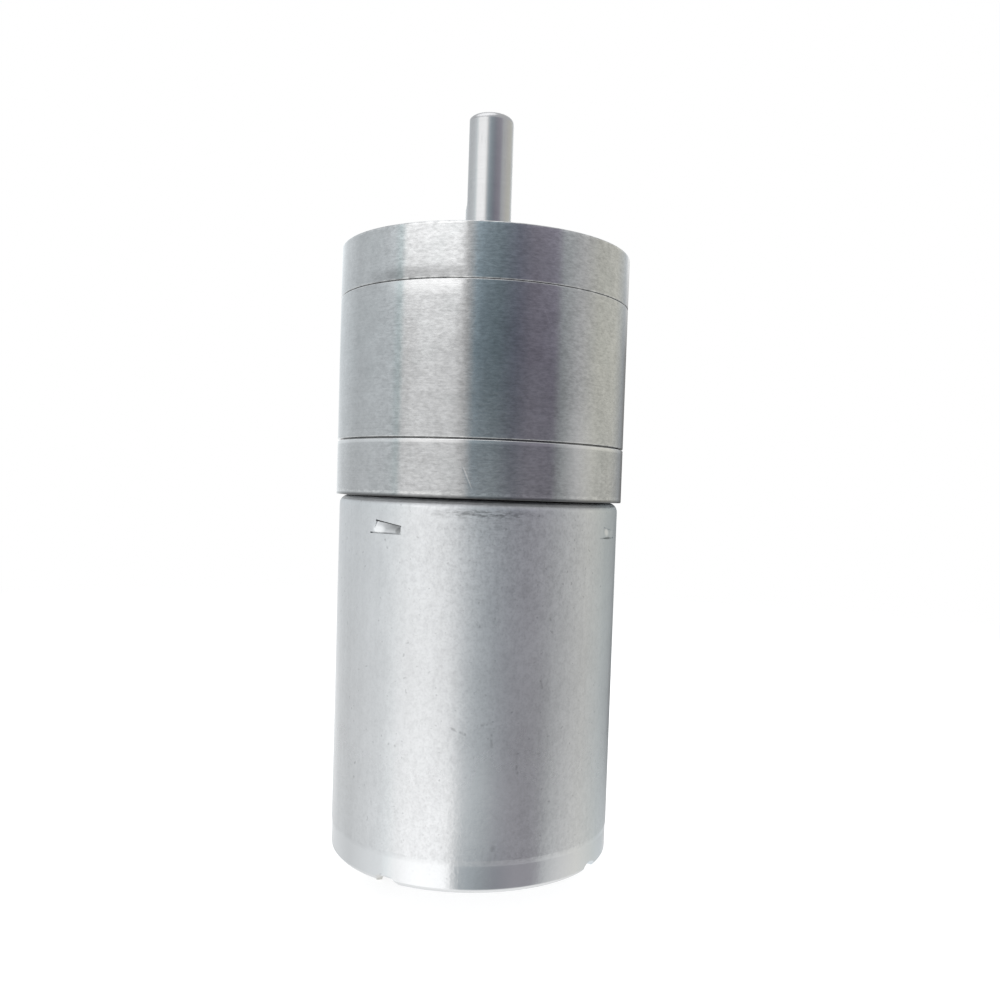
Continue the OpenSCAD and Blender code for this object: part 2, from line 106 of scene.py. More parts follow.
# Half the gap between the castings at each seam, and how far in it goes
SEAM_GAPS = {COVER_Z: (0.02, 0.2), RING_Z: (0.055, 0.5)}
SHAFT_R, JOURNAL_R, SHOULDER_Z = 2.0, 1.8, 2.7
SHAFT_TIP, SHAFT_END = 12.2, -9.6
FLAT_START, FLAT_ACROSS, FLAT_DIR = 4.2, 3.5, 160
BUSHING_R, BUSHING_BORE_R, BUSHING_TOP = 2.73, 1.83, 2.2
FLANGE_R, FLANGE_Z = 3.8, COVER_Z - 0.8
LAY_A = polar(CENTRE_DISTANCE, 150)
LAY_B = (LAY_A[0], -LAY_A[1])


# ---------- Mesh helpers: every length is in millimetres ----------


def add_object(name, data):
    obj = bpy.data.objects.new(name, data)
    scene.collection.objects.link(obj)
    return obj


def add_bmesh(name, bm):
    mesh = bpy.data.meshes.new(name)
    bm.to_mesh(mesh)
    bm.free()
    return add_object(name, mesh)


def remove(obj):
    mesh = obj.data
    bpy.data.objects.remove(obj)
    bpy.data.meshes.remove(mesh)


def add_mesh(name, verts, faces):
    """New mesh object with its normals pointing out"""
    mesh = bpy.data.meshes.new(name)
    mesh.from_pydata([Vector(v) * MM for v in verts], [], faces)
    bm = bmesh.new()
    bm.from_mesh(mesh)
    bmesh.ops.recalc_face_normals(bm, faces=bm.faces)
    bm.to_mesh(mesh)
    bm.free()
    return add_object(name, mesh)


def rounded(corners, steps=4):
    """Closed outline whose corners (a, b, fillet) are rounded off by their fillets"""
    out = []
    count = len(corners)
    for i, corner in enumerate(corners):
        point = Vector(corner[:2])
        fillet = corner[2] if len(corner) > 2 else 0
        if fillet <= 0:
            out.append(tuple(point))
            continue
        back = (Vector(corners[i - 1][:2]) - point).normalized()
        ahead = (Vector(corners[(i + 1) % count][:2]) - point).normalized()
        half = back.angle(ahead) / 2
        reach = fillet / math.tan(half)
        centre = point + (back + ahead).normalized() * fillet / math.sin(half)
        first, last = point + back * reach - centre, point + ahead * reach - centre
        total = first.angle(last)
        for s in range(steps + 1):
            t = s / steps
            arm = (math.sin((1 - t) * total) * first + math.sin(t * total) * last) / math.sin(total)
            out.append(tuple(centre + arm))
    return out


def hexahedron(corners):
    """Block between its first four corners and the other four"""
    faces = [(0, 1, 2, 3), (7, 6, 5, 4), (0, 4, 5, 1), (1, 5, 6, 2), (2, 6, 7, 3), (3, 7, 4, 0)]
    return add_mesh("cutter", corners, faces)


def lathe(name, outline, segments=192, centre=(0, 0)):
    """Closed solid of revolution about an axis along Z; outline is (r, z) points once round the section"""
    verts, faces, rings = [], [], []
    for r, z in outline:
        if r < 1e-6:
            rings.append([len(verts)])
            verts.append((centre[0], centre[1], z))
            continue
        rings.append(range(len(verts), len(verts) + segments))
        for i in range(segments):
            a = 2 * math.pi * i / segments
            verts.append((centre[0] + r * math.cos(a), centre[1] + r * math.sin(a), z))
    for k, low in enumerate(rings):
        high = rings[(k + 1) % len(rings)]
        if len(low) == 1 and len(high) == 1:
            continue
        for i in range(segments):
            j = (i + 1) % segments
            if len(low) == 1:
                faces.append((low[0], high[j], high[i]))
            elif len(high) == 1:
                faces.append((low[i], low[j], high[0]))
            else:
                faces.append((low[i], low[j], high[j], high[i]))
    return add_mesh(name, verts, faces)


def rod(r, low, high, centre=(0, 0), segments=64):
    return lathe("rod", [(0, low), (r, low), (r, high), (0, high)], segments, centre)


def prism(name, outline, low, high, place=None):
    """Outline in X and Y, drawn up from low to high, then moved by the matrix place (in millimetres)"""
    count = len(outline)
    verts = [Vector((x, y, low)) for x, y in outline] + [Vector((x, y, high)) for x, y in outline]
    if place is not None:
        verts = [place @ v for v in verts]
    faces = [tuple(range(count))[::-1], tuple(range(count, 2 * count))]
    faces += [(i, (i + 1) % count, count + (i + 1) % count, count + i) for i in range(count)]
    return add_mesh(name, verts, faces)


def turn(angle):
    """Rotation about Z in degrees"""
    return Matrix.Rotation(math.radians(angle), 4, "Z")


def upright(angle, shift=0.0):
    """Frame whose X runs along the tangent, Y along Z, and Z outward, at an angle from +X"""
    base = Matrix(((0, 0, 1, 0), (1, 0, 0, 0), (0, 1, 0, 0), (0, 0, 0, 1)))
    return turn(angle) @ Matrix.Translation((shift, 0, 0)) @ base


def sideways(angle):
    """Frame whose X runs outward and Y along Z, at an angle from +X"""
    return turn(angle) @ Matrix(((1, 0, 0, 0), (0, 0, -1, 0), (0, 1, 0, 0), (0, 0, 0, 1)))


def bake(obj):
    """Applies the modifiers"""
    bpy.context.view_layer.update()
    graph = bpy.context.evaluated_depsgraph_get()
    mesh = bpy.data.meshes.new_from_object(obj.evaluated_get(graph))
    old = obj.data
    obj.modifiers.clear()
    obj.data = mesh
    bpy.data.meshes.remove(old)
    return obj


def combine(obj, others, operation):
    """Boolean of obj with the others, which are then removed"""
    for other in others:
        step = obj.modifiers.new("step", "BOOLEAN")
        step.operation, step.solver, step.object = operation, "EXACT", other
    bake(obj)
    for other in others:
        remove(other)
    return obj


def cut(obj, *cutters):
    return combine(obj, cutters, "DIFFERENCE")


def add(obj, *others):
    return combine(obj, others, "UNION")


def join(name, parts):
    """One mesh out of several separate ones"""
    bm = bmesh.new()
    for part in parts:
        bm.from_mesh(part.data)
    for part in parts:
        remove(part)
    return add_bmesh(name, bm)


def soften(obj, width):
    """Small round on every sharp edge"""
    bevel = obj.modifiers.new("bevel", "BEVEL")
    bevel.width = width * MM
    bevel.segments = 2
    bevel.limit_method = "ANGLE"
    bevel.angle_limit = math.radians(40)
    bevel.harden_normals = False
    return bake(obj)


def close_slivers(obj):
    """Fills the hair-thin holes that a cut can leave"""
    bm = bmesh.new()
    bm.from_mesh(obj.data)
    bmesh.ops.holes_fill(bm, edges=[e for e in bm.edges if e.is_boundary], sides=0)
    bm.to_mesh(obj.data)
    bm.free()


def shade(obj, angle=32):
    """Smooth shading that keeps flat faces flat and sharp edges sharp"""
    close_slivers(obj)
    obj.data.shade_smooth()
    obj.data.set_sharp_from_angle(angle=math.radians(angle))
    weighted = obj.modifiers.new("weighted", "WEIGHTED_NORMAL")
    weighted.keep_sharp = True
    return bake(obj)


def add_tube(verts, faces, points, r, sides, closed=False):
    """Adds a round wire along points to the two lists"""
    first, count = len(verts), len(points)
    points = [Vector(p) for p in points]
    across = None
    for i, p in enumerate(points):
        ahead = points[(i + 1) % count] if closed or i < count - 1 else p
        behind = points[i - 1] if closed or i > 0 else p
        along = (ahead - behind).normalized()
        if across is None:
            across = along.orthogonal().normalized()
        across = (across - along * across.dot(along)).normalized()
        side = along.cross(across)
        for s in range(sides):
            a = 2 * math.pi * s / sides
            verts.append(p + (across * math.cos(a) + side * math.sin(a)) * r)
    for i in range(count if closed else count - 1):
        here, there = first + i * sides, first + (i + 1) % count * sides
        for s in range(sides):
            t = (s + 1) % sides
            faces.append((here + s, here + t, there + t, there + s))
    if not closed:
        faces.append(tuple(range(first, first + sides))[::-1])
        faces.append(tuple(range(first + (count - 1) * sides, first + count * sides)))


def cover_with(obj, material):
    obj.data.materials.clear()
    obj.data.materials.append(material)


def place(obj, body, node, slot, material):
    """The finished piece takes the CAD node's place"""
    cover_with(obj, material)
    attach(obj, body)
    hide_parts(node)


# ---------- Materials ----------


def set_inputs(node, **values):
    """Sets a node's inputs by their names, with _ for a space"""
    for key, value in values.items():
        node.inputs[key.replace("_", " ")].default_value = value


class Nodes:
    """Adds nodes to the emptied tree of a material or world"""

    def __init__(self, owner):
        owner.use_nodes = True
        self.tree = owner.node_tree
        self.tree.nodes.clear()

    def new(self, kind, **settings):
        node = self.tree.nodes.new(kind)
        for key, value in settings.items():
            setattr(node, key, value)
        return node

    def link(self, a, b):
        self.tree.links.new(a, b)

    def put(self, value, socket):
        if hasattr(value, "links"):
            self.link(value, socket)
        else:
            socket.default_value = value

    def fill(self, node, *values):
        for value, socket in zip(values, node.inputs):
            self.put(value, socket)
        return node.outputs[0]

    def split(self, vector):
        node = self.new("ShaderNodeSeparateXYZ")
        self.link(vector, node.inputs[0])
        return node.outputs

    def math(self, operation, *values):
        return self.fill(self.new("ShaderNodeMath", operation=operation), *values)

    def times(self, a, b):
        return self.math("MULTIPLY", a, b)

    def most(self, a, b):
        return self.math("MAXIMUM", a, b)

    def vector(self, x, y, z):
        return self.fill(self.new("ShaderNodeCombineXYZ"), x, y, z)

    def stretch(self, vector, scale, rotation=(0, 0, 0)):
        node = self.new("ShaderNodeMapping")
        self.link(vector, node.inputs["Vector"])
        set_inputs(node, Scale=scale, Rotation=[math.radians(a) for a in rotation])
        return node.outputs[0]

    def noise(self, vector, scale, detail=2.0, rough=0.5, distortion=0.0):
        node = self.new("ShaderNodeTexNoise")
        self.link(vector, node.inputs["Vector"])
        set_inputs(node, Scale=scale, Detail=detail, Roughness=rough, Distortion=distortion)
        return node.outputs[0]

    def cells(self, vector, scale):
        node = self.new("ShaderNodeTexVoronoi")
        self.link(vector, node.inputs["Vector"])
        set_inputs(node, Scale=scale)
        return node.outputs["Distance"]

    def remap(self, value, low, high, to_low=0.0, to_high=1.0, smooth=False):
        node = self.new("ShaderNodeMapRange", clamp=True)
        node.interpolation_type = "SMOOTHSTEP" if smooth else "LINEAR"
        return self.fill(node, value, low, high, to_low, to_high)

    def blend(self, factor, a, b):
        node = self.new("ShaderNodeMix", data_type="RGBA")
        self.put(factor, node.inputs[0])
        self.put(a if hasattr(a, "links") else (*a, 1), node.inputs[6])
        self.put(b if hasattr(b, "links") else (*b, 1), node.inputs[7])
        return node.outputs[2]


class Surface(Nodes):
    """One procedural material; positions in it are in millimetres"""

    def __init__(self, name):
        self.material = bpy.data.materials.new(name)
        super().__init__(self.material)
        output = self.new("ShaderNodeOutputMaterial")
        self.bsdf = self.new("ShaderNodeBsdfPrincipled")
        self.link(self.bsdf.outputs[0], output.inputs["Surface"])
        coords = self.new("ShaderNodeTexCoord")
        scale = self.new("ShaderNodeVectorMath", operation="SCALE")
        self.link(coords.outputs["Object"], scale.inputs[0])
        set_inputs(scale, Scale=1 / MM)
        self.at = scale.outputs[0]
        self.x, self.y, self.z = self.split(self.at)
        self.heights = []

    def radius(self):
        square = self.math("ADD", self.times(self.x, self.x), self.times(self.y, self.y))
        return self.math("SQRT", square)

    def rings(self, pitch):
        """Fine turning marks: rings round a cylinder and circles on a face"""
        along = self.math("DIVIDE", self.math("ADD", self.radius(), self.z), pitch)
        return self.noise(self.vector(along, self.times(self.x, 0.12), self.times(self.y, 0.12)), 1.0, 3.0)

    def streaks(self, width, length, detail=3.0, rough=0.5):
        """Noise of one size across and another along Z"""
        return self.noise(self.stretch(self.at, (1 / width, 1 / width, 1 / length)), 1.0, detail, rough)

    def scratches(self, width, length, amount, rotation):
        """Sparse thin lines"""
        lines = self.noise(self.stretch(self.at, (1 / width, 1 / width, 1 / length), rotation), 1.0, 0.0)
        patches = self.noise(self.at, 0.35, 1.0)
        return self.times(self.remap(lines, 0.72 - amount, 0.76), self.remap(patches, 0.5, 0.62))

    def distance(self, a, b):
        return self.math("ABSOLUTE", self.math("SUBTRACT", a, b))

    def height(self, value, micrometres):
        self.heights.append(self.times(value, micrometres))

    def finish(self, colour, rough, metallic=1.0, **constants):
        self.put(colour if hasattr(colour, "links") else (*colour, 1), self.bsdf.inputs["Base Color"])
        self.put(rough, self.bsdf.inputs["Roughness"])
        set_inputs(self.bsdf, Metallic=metallic, **constants)
        if self.heights:
            total = self.heights[0]
            for extra in self.heights[1:]:
                total = self.math("ADD", total, extra)
            bump = self.new("ShaderNodeBump")
            set_inputs(bump, Strength=1.0, Distance=1e-6)
            self.link(total, bump.inputs["Height"])
            self.link(bump.outputs[0], self.bsdf.inputs["Normal"])
        return self.material


def tone(colour, gain):
    return tuple(min(1.0, c * gain) for c in colour)


def metal(name, colour, rough, spread, mottle, patch, grain, ring=None, stain=None, scratched=0.0):
    """Metal with patches, grain and turning rings (each a size, depth and tone), stains and scratches"""
    s = Surface(name)
    patches = s.remap(s.noise(s.at, 1 / patch, 3.0, 0.6), 0.3, 0.7)
    base = s.blend(patches, tone(colour, 1 - mottle), tone(colour, 1 + mottle))
    roughness = s.math("ADD", rough - spread / 2, s.times(patches, spread))
    grain_size, grain_depth, grain_tone = grain
    fine = s.noise(s.at, 1 / grain_size, 3.0, 0.65)
    s.height(fine, grain_depth)
    base = s.blend(s.remap(fine, 0.35, 0.7), s.blend(grain_tone, base, (0, 0, 0)), base)
    if ring:
        ring_size, ring_depth, ring_tone = ring
        marks = s.rings(ring_size)
        s.height(marks, ring_depth)
        base = s.blend(s.remap(marks, 0.35, 0.65), s.blend(ring_tone, base, (0, 0, 0)), base)
    if stain:
        stain_colour, stain_amount, stain_size = stain
        where = s.remap(s.noise(s.at, 1 / stain_size, 4.0, 0.6, 0.4), 0.48, 0.72)
        base = s.blend(s.times(where, stain_amount), base, stain_colour)
        roughness = s.math("ADD", roughness, s.times(where, 0.06))
    if scratched:
        lines = s.most(s.scratches(0.05, 2.2, scratched, (12, 62, 20)),
                       s.scratches(0.04, 1.4, scratched, (80, 10, 55)))
        base = s.blend(s.times(lines, 0.35), base, tone(colour, 0.45))
        s.height(lines, -2.5)
    return s.finish(base, roughness)


def on_wall(s, radius):
    """Distance round the wall from -Y toward +X, in millimetres"""
    return s.times(s.math("ARCTAN2", s.x, s.times(s.y, -1.0)), radius)


def line_mark(s, u, start, end, width):
    """1 along a straight mark between two (u, z) points, 0 elsewhere"""
    du, dz = end[0] - start[0], end[1] - start[1]
    length = math.hypot(du, dz)
    a, b = s.math("SUBTRACT", u, start[0]), s.math("SUBTRACT", s.z, start[1])
    along = s.math("ADD", s.times(a, du / length), s.times(b, dz / length))
    aside = s.distance(s.times(a, dz / length), s.times(b, du / length))
    ends = s.distance(along, length / 2)
    return s.times(s.remap(aside, width * 0.4, width, 1.0, 0.0), s.remap(ends, length * 0.35, length * 0.5, 1.0, 0.0))


def line_marks(s, u, marks, width):
    """The largest of several line marks, each given by its two ends"""
    total = 0.0
    for start, end in marks:
        total = s.most(total, line_mark(s, u, start, end, width))
    return total


def patch_mark(s, u, centre, half, soft):
    """1 inside an oval patch, fading out over its rim"""
    a = s.math("DIVIDE", s.math("SUBTRACT", u, centre[0]), half[0])
    b = s.math("DIVIDE", s.math("SUBTRACT", s.z, centre[1]), half[1])
    reach = s.math("SQRT", s.math("ADD", s.times(a, a), s.times(b, b)))
    return s.remap(reach, 1 - soft, 1 + soft, 1.0, 0.0)


def span(s, value, start, full, fading, end):
    """1 between full and fading, falling to 0 at start and at end"""
    return s.math("MINIMUM", s.remap(value, start, full), s.remap(value, fading, end, 1.0, 0.0))


def lighter(s, where, amount, base):
    return s.blend(s.times(where, amount), base, (0.92, 0.92, 0.92))


def darker(s, where, amount, base):
    return s.blend(s.times(where, amount), base, (0, 0, 0))


def gearbox_metal():
    """Turned zinc casting: pebbled grain, fine turning lines, dull patches and handling marks, with painted highlights
    and painted shade along the seams and edges
    """
    s = Surface("zinc_turned")
    colour = (0.60, 0.605, 0.61)
    clouds = s.noise(s.stretch(s.at, (0.8, 0.8, 0.5)), 1.0, 3.0, 0.6)
    pebble = s.streaks(0.5, 0.27, rough=0.65)
    fine = s.streaks(0.42, 0.11, 2.0, 0.6)
    turned = s.rings(0.14)
    base = s.blend(s.remap(clouds, 0.32, 0.68), tone(colour, 0.94), tone(colour, 1.05))
    u = on_wall(s, GEARBOX_R)
    coarse = s.math("MINIMUM", s.remap(u, -10.5, -7.0, 0.5, 1.0), s.remap(u, 26.0, 38.0, 1.0, 0.5))
    base = darker(s, s.times(s.remap(pebble, 0.6, 0.36), coarse), 0.18, base)
    base = darker(s, s.times(s.remap(fine, 0.6, 0.32), coarse), 0.15, base)
    base = darker(s, s.remap(turned, 0.58, 0.36), 0.05, base)
    marks = line_mark(s, u, (-1.4, -18.45), (-0.6, -20.35), 0.09)
    marks = s.most(marks, s.times(line_marks(s, u, GEARBOX_SCRATCHES, 0.06), 0.6))
    dull = s.remap(s.noise(s.at, 0.32, 4.0, 0.6, 0.5), 0.5, 0.72)
    base = s.blend(s.times(dull, 0.2), base, (0.42, 0.45, 0.45))
    base = s.blend(s.times(marks, 0.3), base, (0.80, 0.80, 0.80))
    # Painted shade: a darker band on the cover just above its lower seam, across the lit side only
    painted_lip_shade = span(s, s.z, COVER_Z - 0.02, COVER_Z + 0.02, COVER_Z + 0.65, COVER_Z + 1.15)
    base = darker(s, s.times(painted_lip_shade, span(s, u, -11.0, -8.0, -2.0, -1.4)), 0.3, base)
    # Painted highlight: a lighter band on the top of the gearbox ring, across the lit side only
    painted_ring_highlight = span(s, s.z, COVER_Z - 1.3, COVER_Z - 0.5, COVER_Z - 0.08, COVER_Z - 0.04)
    base = lighter(s, s.times(painted_ring_highlight, span(s, u, -8.5, -7.5, -2.0, -1.4)), 0.35, base)
    # Painted reflection: a lighter patch on the lower gearbox, right of the front
    base = lighter(s, patch_mark(s, u, (8.6, -18.0), (1.8, 4.0), 0.5), 0.33, base)
    # Painted highlight: a lighter strip on the rear plate just below the ring seam
    base = lighter(s, span(s, s.z, RING_Z - 0.42, RING_Z - 0.28, RING_Z - 0.1, RING_Z - 0.06), 0.5, base)
    # Painted shade along the lower rim of the rear plate, where it meets the can
    outside = s.remap(s.radius(), GEARBOX_R - 0.3, GEARBOX_R - 0.12)
    painted_edge_shade = s.times(outside, s.remap(s.z, PLATE_Z + 0.28, PLATE_Z + 0.06))
    base = darker(s, painted_edge_shade, 0.78, base)
    # Lighter lines along the edges and seams, partly edge wear and partly painted highlight
    edge = 0.0
    for z, reach in ((COVER_Z, 0.16), (RING_Z, 0.2), (PLATE_Z + 0.36, 0.12), (-0.08, 0.14)):
        edge = s.most(edge, s.remap(s.distance(s.z, z), reach * 0.7, reach, 1.0, 0.0))
    wear_and_sheen = s.remap(s.noise(s.stretch(s.at, (1.6, 1.6, 3.0)), 1.0, 3.0, 0.7), 0.42, 0.6)
    base = s.blend(s.times(s.times(edge, wear_and_sheen), 0.38), base, (0.93, 0.93, 0.92))
    # Painted shade inside the gaps of the two seams
    inward = s.remap(s.radius(), GEARBOX_R - 0.2, GEARBOX_R - 0.1, 1.0, 0.0)
    for z, amount in ((COVER_Z, 0.3), (RING_Z, 0.72)):
        beside = s.remap(s.distance(s.z, z), 0.12, 0.16, 1.0, 0.0)
        base = darker(s, s.times(inward, beside), amount, base)
    s.height(pebble, 4.4)
    s.height(fine, 0.7)
    s.height(turned, 0.4)
    s.height(marks, -2.0)
    rough = s.math("ADD", s.remap(clouds, 0.3, 0.7, 0.095, 0.13), s.times(dull, 0.05))
    return s.finish(base, rough)


def can_metal():
    """Plated drawn steel: matt and mottled, with a smoother band round the rear rim, and painted shade, painted
    highlights and a painted bluish reflection
    """
    s = Surface("plated_can")
    colour = (0.765, 0.775, 0.785)
    clouds = s.noise(s.at, 0.33, 4.0, 0.6, 0.3)
    pebble = s.streaks(0.42, 0.5, rough=0.6)
    fine = s.noise(s.at, 1 / 0.2, 2.0, 0.6)
    drawn = s.streaks(0.5, 14.0)
    base = s.blend(s.remap(clouds, 0.3, 0.7), tone(colour, 0.955), tone(colour, 1.03))
    u = on_wall(s, CAN_R)
    coarse = s.math("MINIMUM", s.remap(u, -9.0, -3.0, 0.5, 1.0), s.remap(u, 7.0, 11.0, 1.0, 0.8))
    coarse = s.math("MINIMUM", coarse, s.remap(u, 26.0, 37.0, 1.0, 0.5))
    coarse = s.math("ADD", coarse, s.times(patch_mark(s, u, (2.2, -25.0), (5.5, 4.5), 0.8), 0.6))
    base = darker(s, s.times(s.remap(pebble, 0.58, 0.34), coarse), 0.09, base)
    base = darker(s, s.times(s.remap(fine, 0.55, 0.3), coarse), 0.09, base)
    base = darker(s, s.remap(drawn, 0.6, 0.4), 0.02, base)
    specks = s.remap(s.noise(s.at, 2.6, 1.0, 0.5), 0.72, 0.77)
    worn = s.remap(s.noise(s.stretch(s.at, (1.5, 1.5, 7.0)), 1.0, 4.0, 0.7), 0.42, 0.6)
    scuff = s.times(worn, patch_mark(s, u, (0.7, -22.15), (3.3, 0.3), 0.6))
    wide = s.times(worn, patch_mark(s, u, (1.6, -22.9), (2.4, 1.3), 0.7))
    scuff = s.most(scuff, s.times(wide, 0.3))
    nick = patch_mark(s, u, (1.9, -48.15), (0.19, 0.24), 0.5)
    dents = line_mark(s, u, (1.4, -44.9), (2.3, -46.0), 0.15)
    dents = s.most(dents, line_marks(s, u, CAN_DENTS, 0.14))
    dents = s.times(dents, s.remap(s.noise(s.at, 3.2, 2.0), 0.4, 0.6))
    base = darker(s, specks, 0.2, base)
    base = darker(s, scuff, 0.55, base)
    base = darker(s, s.most(nick, s.times(dents, 0.6)), 0.4, base)
    # Painted reflection: a lighter patch low on the front of the can
    base = lighter(s, patch_mark(s, u, (0.8, -45.6), (2.2, 4.4), 0.5), 0.7, base)
    # Painted shade on the can just under the gearbox, weaker toward the left
    painted_shoulder_shade = s.times(s.remap(s.z, PLATE_Z - 0.7, PLATE_Z - 0.2), s.remap(u, -9.0, -3.0, 0.4, 1.0))
    base = darker(s, painted_shoulder_shade, 0.45, base)
    band = s.remap(s.z, BAND_TOP - 0.12, BAND_TOP + 0.35, 1.0, 0.0)
    base = s.blend(s.times(band, 0.8), base, (0.80, 0.81, 0.82))
    # Painted reflection: a bluish cast on the right side of the can, with painted shade toward its top
    painted_blue_reflection = span(s, u, 10.0, 13.0, 20.0, 26.0)
    base = s.blend(s.times(painted_blue_reflection, 0.35), base, (0.56, 0.68, 0.75))
    base = darker(s, s.times(painted_blue_reflection, s.remap(s.z, -31.0, -25.0)), 0.12, base)
    # Painted shade inside the lance pockets
    pocket = s.times(s.remap(s.radius(), CAN_R - 0.03, CAN_R - 0.42), s.remap(s.z, -24.3, -24.1))
    base = darker(s, s.times(pocket, s.remap(s.z, -22.6, -22.4, 1.0, 0.0)), 0.55, base)
    # Painted shade and painted highlights inside the two front lances
    for patch in LANCE_PAINTED_SHADE:
        base = darker(s, patch_mark(s, u, *patch), 0.4, base)
    for patch in LANCE_PAINTED_HIGHLIGHT:
        base = s.blend(s.times(patch_mark(s, u, *patch), 0.7), base, (0.95, 0.95, 0.95))
    s.height(pebble, 9.0)
    s.height(fine, 2.4)
    s.height(s.times(drawn, band), 5.0)
    s.height(dents, -2.0)
    s.height(specks, -3.0)
    matt = s.times(s.remap(clouds, 0.3, 0.7, 0.36, 0.43), s.remap(s.z, -46.0, -26.0, 0.62, 1.0))
    rough = s.math("ADD", s.times(matt, s.math("SUBTRACT", 1.0, band)), s.times(band, 0.19))
    return s.finish(base, rough)


def plastic(name, colour, rough, grain, depth, speck, bands=0.0):
    """Moulded, fired or pressed material"""
    s = Surface(name)
    cloud = s.noise(s.at, 0.6, 4.0, 0.6)
    fine = s.noise(s.at, 1 / grain, 3.0, 0.6)
    base = s.blend(s.remap(cloud, 0.3, 0.7), tone(colour, 0.82), tone(colour, 1.2))
    dots = s.remap(s.cells(s.at, 1 / (grain * 1.4)), 0.12, 0.24, 1.0, 0.0)
    base = s.blend(s.times(dots, 0.6), base, speck)
    if bands:
        layers = s.noise(s.vector(0.0, 0.0, s.math("DIVIDE", s.z, bands)), 1.0, 0.0)
        base = s.blend(s.remap(layers, 0.4, 0.6, 0.0, 0.4), base, tone(colour, 0.6))
    s.height(fine, depth)
    roughness = s.math("ADD", rough - 0.05, s.times(fine, 0.1))
    return s.finish(base, roughness, metallic=0.0)


zinc = gearbox_metal()
plated = can_metal()
pressed = metal("pressed_plate", (0.70, 0.71, 0.73), 0.34, 0.08, mottle=0.05, patch=2.0, grain=(0.3, 2.5, 0.08),
                stain=((0.5, 0.52, 0.5), 0.3, 3.0), scratched=0.03)
ground = metal("ground_steel", (0.57, 0.57, 0.575), 0.24, 0.04, mottle=0.02, patch=1.5, grain=(0.12, 0.35, 0.03),
               ring=(0.05, 0.35, 0.05), scratched=0.015)
screw_metal = metal("screw_steel", (0.56, 0.57, 0.59), 0.27, 0.08, mottle=0.08, patch=0.8, grain=(0.15, 1.2, 0.1),
                    ring=(0.08, 0.6, 0.08), stain=((0.4, 0.42, 0.4), 0.3, 1.0))
gear_metal = metal("gear_steel", (0.40, 0.40, 0.41), 0.36, 0.1, mottle=0.1, patch=0.9, grain=(0.1, 2.2, 0.25),
                   stain=((0.2, 0.16, 0.09), 0.45, 1.4))
bronze = metal("sintered_bronze", (0.60, 0.42, 0.22), 0.38, 0.1, mottle=0.12, patch=0.7, grain=(0.09, 3.0, 0.4),
               stain=((0.28, 0.17, 0.07), 0.5, 0.9))
brass = metal("machined_brass", (0.80, 0.62, 0.30), 0.24, 0.06, mottle=0.06, patch=1.0, grain=(0.1, 0.8, 0.08),
              ring=(0.07, 0.8, 0.12), stain=((0.5, 0.34, 0.14), 0.3, 1.3))
tin = metal("tinned_brass", (0.64, 0.64, 0.62), 0.3, 0.12, mottle=0.06, patch=0.8, grain=(0.16, 2.5, 0.12),
            stain=((0.5, 0.44, 0.32), 0.3, 1.2), scratched=0.03)
bare_copper = metal("bare_copper", (0.82, 0.47, 0.33), 0.26, 0.1, mottle=0.08, patch=0.8, grain=(0.12, 1.0, 0.1),
                    ring=(0.08, 0.8, 0.15), stain=((0.35, 0.18, 0.1), 0.4, 1.0))
nylon = plastic("black_nylon", (0.028, 0.028, 0.03), 0.5, 0.18, 5.0, speck=(0.05, 0.05, 0.05))
fibre = plastic("insulating_fibre", (0.20, 0.31, 0.18), 0.7, 0.3, 12.0, speck=(0.3, 0.4, 0.26))
phenolic = plastic("phenolic_resin", (0.16, 0.07, 0.03), 0.35, 0.25, 3.0, speck=(0.24, 0.13, 0.07))
ferrite = plastic("magnet_ferrite", (0.055, 0.055, 0.06), 0.55, 0.16, 9.0, speck=(0.12, 0.12, 0.12))
ceramic = plastic("varistor_ceramic", (0.12, 0.12, 0.118), 0.6, 0.12, 4.0, speck=(0.2, 0.2, 0.19))
carbon = plastic("pressed_carbon", (0.045, 0.045, 0.047), 0.45, 0.1, 5.0, speck=(0.3, 0.17, 0.1), bands=0.3)


def enamelled_copper():
    """Varnished winding wire, whose tone changes from wire to wire"""
    s = Surface("enamelled_copper")
    wires = s.noise(s.at, 2.2, 2.0)
    base = s.blend(s.remap(wires, 0.35, 0.65), (0.52, 0.17, 0.06), (0.80, 0.34, 0.13))
    s.height(s.noise(s.at, 9.0, 2.0), 1.5)
    rough = s.remap(wires, 0.3, 0.7, 0.24, 0.36)
    return s.finish(base, rough, metallic=0.85, Coat_Weight=0.6, Coat_Roughness=0.12)


def laminations():
    """Stack of thin steel sheets seen from the side"""
    s = Surface("core_laminations")
    wave = s.new("ShaderNodeTexWave", wave_type="BANDS", bands_direction="Z")
    s.link(s.at, wave.inputs["Vector"])
    set_inputs(wave, Scale=0.63, Distortion=0.0)
    sheets = s.remap(wave.outputs["Fac"], 0.0, 0.25)
    patches = s.noise(s.at, 1.5, 3.0)
    base = s.blend(s.remap(patches, 0.3, 0.7), (0.36, 0.37, 0.39), (0.48, 0.48, 0.49))
    base = s.blend(sheets, (0.10, 0.08, 0.07), base)
    s.height(sheets, 18.0)
    s.height(s.noise(s.at, 6.0, 3.0), 2.5)
    return s.finish(base, s.remap(patches, 0.3, 0.7, 0.34, 0.46))


winding = enamelled_copper()
core_steel = laminations()

# ---------- Gearbox casing ----------


def at_screws(radius, low, high):
    """One rod at each cover screw"""
    return [rod(radius, low, high, at) for at in COVER_SCREWS_AT]


